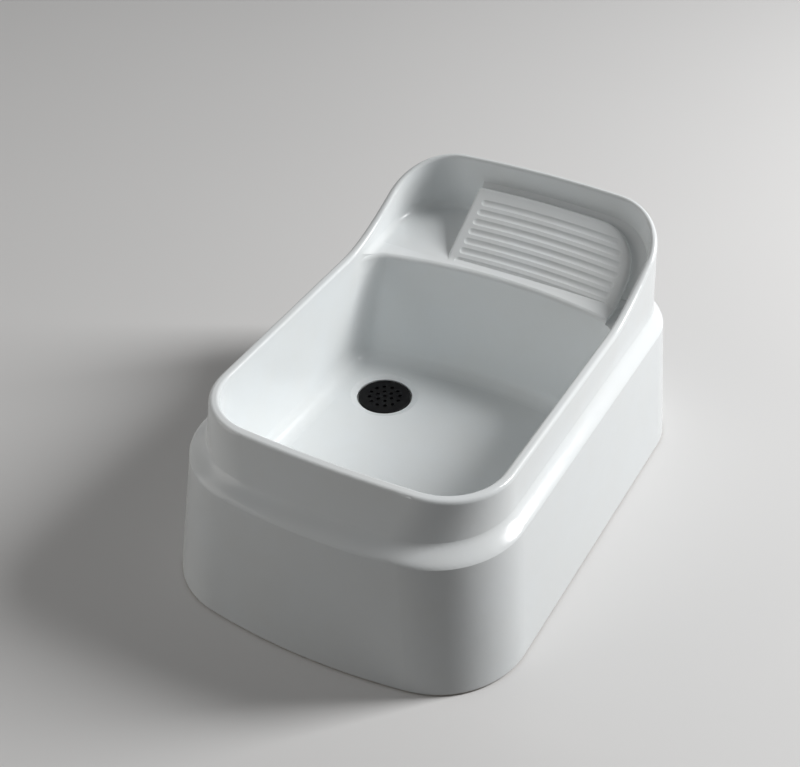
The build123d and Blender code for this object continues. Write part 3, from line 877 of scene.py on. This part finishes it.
@dataclass(frozen=True)
class SoftLamp:
    """A soft box, by where it hangs round the basin and how large and strong it is."""

    name: str
    turn: float
    rise: float
    width: float
    height: float
    power: float
    distance: float = 3.0
    colour: Colour = (1.0, 1.0, 1.0)

    def hang(self, centre: Vector) -> None:
        """Hangs the lamp so that it faces a point.

        Args:
            centre: the point that it faces.
        """
        light = bpy.data.lights.new(self.name, "AREA")
        light.shape = "RECTANGLE"
        light.size = self.width
        light.size_y = self.height
        light.energy = self.power
        light.color = self.colour
        turn = math.radians(self.turn)
        rise = math.radians(self.rise)
        away = Vector(
            (math.cos(turn) * math.cos(rise), math.sin(turn) * math.cos(rise), math.sin(rise))
        )
        lamp = bpy.data.objects.new(self.name, light)
        lamp.location = centre + away * self.distance
        lamp.rotation_euler = away.to_track_quat("Z", "Y").to_euler()
        bpy.context.scene.collection.objects.link(lamp)


@dataclass
class Studio:
    """A pale floor, a tall lamp behind on the right, a weak one at the front left, a camera.

    Rays that see the floor meet floor_colour, and rays that only carry its light floor_bounce.
    """

    azimuth: float = 28.42
    elevation: float = 37.63
    distance: float = 1.656
    target: Point = (-0.03634, -0.01937, 0.15)
    focal_pixels: float = 1504.1
    frame_width: float = 800.0
    sensor: float = 36.0
    floor_size: float = 14.0
    floor_gap: float = 0.0002
    floor_roughness: float = 0.75
    patch_size: float = 0.5
    patch_gain: float = 1.03
    floor_colour: Colour = (0.74, 0.735, 0.73)
    floor_bounce: Colour = (0.26, 0.255, 0.25)
    backdrop: Colour = (0.60, 0.60, 0.60)
    sky: Colour = (0.102, 0.103, 0.104)
    lit_point: Point = (0.0, 0.0, 0.2)
    lamps: list[SoftLamp] = field(
        default_factory=lambda: [
            SoftLamp("tall_soft_box", 37.5, 34.0, 0.75, 1.5, 94.0),
            SoftLamp("low_fill", 212.0, 22.0, 2.0, 1.8, 19.0, colour=(1.0, 0.975, 0.94)),
        ]
    )

    def build(self) -> None:
        """Sets up the floor, the lights, the world and the camera."""
        self._floor()
        for lamp in self.lamps:
            lamp.hang(Vector(self.lit_point))
        self._world()
        self._camera()
        bpy.context.scene.view_settings.view_transform = "Standard"

    def _floor(self) -> None:
        """Lays a large plain floor just under the basin's foot."""
        edit = bmesh.new()
        bmesh.ops.create_grid(edit, x_segments=2, y_segments=2, size=self.floor_size / 2)
        bmesh.ops.translate(edit, verts=edit.verts[:], vec=(0.0, 0.0, -self.floor_gap))
        mesh = bpy.data.meshes.new("studio_floor")
        edit.to_mesh(mesh)
        edit.free()
        floor = bpy.data.objects.new("studio_floor", mesh)
        bpy.context.scene.collection.objects.link(floor)
        material = bpy.data.materials.new("pale_floor")
        material.use_nodes = True
        sheet = NodeSheet(material.node_tree)
        shader = material.node_tree.nodes["Principled BSDF"]
        place = sheet.add("ShaderNodeTexCoord").outputs["Object"]
        lighter = tuple(c * self.patch_gain for c in self.floor_colour)
        patches = sheet.noise(place, self.patch_size, 2.0)
        tone = sheet.blend(patches, self.floor_colour, lighter)
        seen = sheet.blend(self._seen_rays(sheet), self.floor_bounce, tone)
        sheet.join(seen, shader.inputs["Base Color"])
        shader.inputs["Roughness"].default_value = self.floor_roughness
        mesh.materials.append(material)

    def _seen_rays(self, sheet: NodeSheet) -> Socket:
        """Tells the rays that see the studio from those that only carry its light.

        Args:
            sheet: the stage material's or world's sheet.

        Returns:
            A socket that is 1 for camera, glossy and transmission rays.
        """
        path = sheet.add("ShaderNodeLightPath")
        rays = sheet.combine(
            "MAXIMUM", path.outputs["Is Camera Ray"], path.outputs["Is Transmission Ray"]
        )
        return sheet.combine("MAXIMUM", rays, path.outputs["Is Glossy Ray"])

    def _world(self) -> None:
        """Lights the scene evenly, and shows a pale backdrop to the camera and to gloss."""
        world = bpy.data.worlds.new("studio_air")
        world.use_nodes = True
        bpy.context.scene.world = world
        sheet = NodeSheet(world.node_tree)
        light = world.node_tree.nodes["Background"]
        light.inputs["Color"].default_value = (*self.sky, 1.0)
        seen = sheet.add("ShaderNodeBackground", {"Color": (*self.backdrop, 1.0)})
        mix = sheet.add("ShaderNodeMixShader")
        sheet.join(self._seen_rays(sheet), mix.inputs[0])
        sheet.join(light.outputs[0], mix.inputs[1])
        sheet.join(seen.outputs[0], mix.inputs[2])
        sheet.join(mix.outputs[0], world.node_tree.nodes["World Output"].inputs[0])

    def _camera(self) -> None:
        """Places the camera at the photograph's viewing angle."""
        turn = math.radians(self.azimuth)
        lift = math.radians(self.elevation)
        back = Vector(
            (math.sin(turn) * math.cos(lift), -math.cos(turn) * math.cos(lift), math.sin(lift))
        )
        lens = bpy.data.cameras.new("studio_camera")
        lens.sensor_fit = "HORIZONTAL"
        lens.sensor_width = self.sensor
        lens.lens = self.focal_pixels * self.sensor / self.frame_width
        camera = bpy.data.objects.new("studio_camera", lens)
        camera.location = Vector(self.target) + back * self.distance
        camera.rotation_euler = back.to_track_quat("Z", "Y").to_euler()
        bpy.context.scene.collection.objects.link(camera)
        bpy.context.scene.camera = camera


def waste_finishes(shop: FinishShop) -> dict[str, bpy.types.Material]:
    """Makes the waste's materials.

    Args:
        shop: where the materials are made.

    Returns:
        The materials by their short names.
    """
    low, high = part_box("waste_flange")
    plastics = {
        "cover": MouldedFinish(
            (0.004, 0.004, 0.005),
            (0.008, 0.008, 0.008),
            0.48,
            0.60,
            Grain.SPARKED,
            edge_gain=0.08,
            gloss=0.12,
        ),
        "insert": MouldedFinish(
            (0.030, 0.031, 0.033), (0.042, 0.043, 0.045), 0.36, 0.50, Grain.SPARKED
        ),
        "trap": MouldedFinish(
            (0.74, 0.74, 0.72), (0.68, 0.68, 0.66), 0.32, 0.46, Grain.POLISHED
        ),
        "nut": MouldedFinish(
            (0.70, 0.70, 0.68), (0.63, 0.63, 0.61), 0.36, 0.50, Grain.SPARKED
        ),
        "slip": MouldedFinish(
            (0.55, 0.56, 0.57), (0.49, 0.50, 0.51), 0.25, 0.38, Grain.POLISHED
        ),
        "pipe": MouldedFinish(
            (0.36, 0.37, 0.38), (0.31, 0.32, 0.33), 0.30, 0.45, Grain.DRAWN, 0.0012
        ),
    }
    finishes = {
        short: shop.moulded(f"{short}_plastic_finish", finish)
        for short, finish in plastics.items()
    }
    finishes["steel"] = shop.steel(SteelFinish(), (Vector(low) + Vector(high)) / 2)
    finishes["rubber"] = shop.rubber(RubberFinish())
    return finishes


def main() -> None:
    """Builds the basin, its waste and the studio."""
    logging.basicConfig(level=logging.INFO, format="%(name)s: %(message)s")
    shop = FinishShop(SharedEffects())
    clay = ClayFinish()
    GlazedBasin().build(shop.glaze(GlazeFinish(), clay), shop.clay(clay))
    finishes = waste_finishes(shop)
    LiftOutInsert().dress(finishes)
    FixedWaste().dress(finishes)
    Studio().build()
    bpy.context.view_layer.update()


if __name__ == "__main__":
    main()
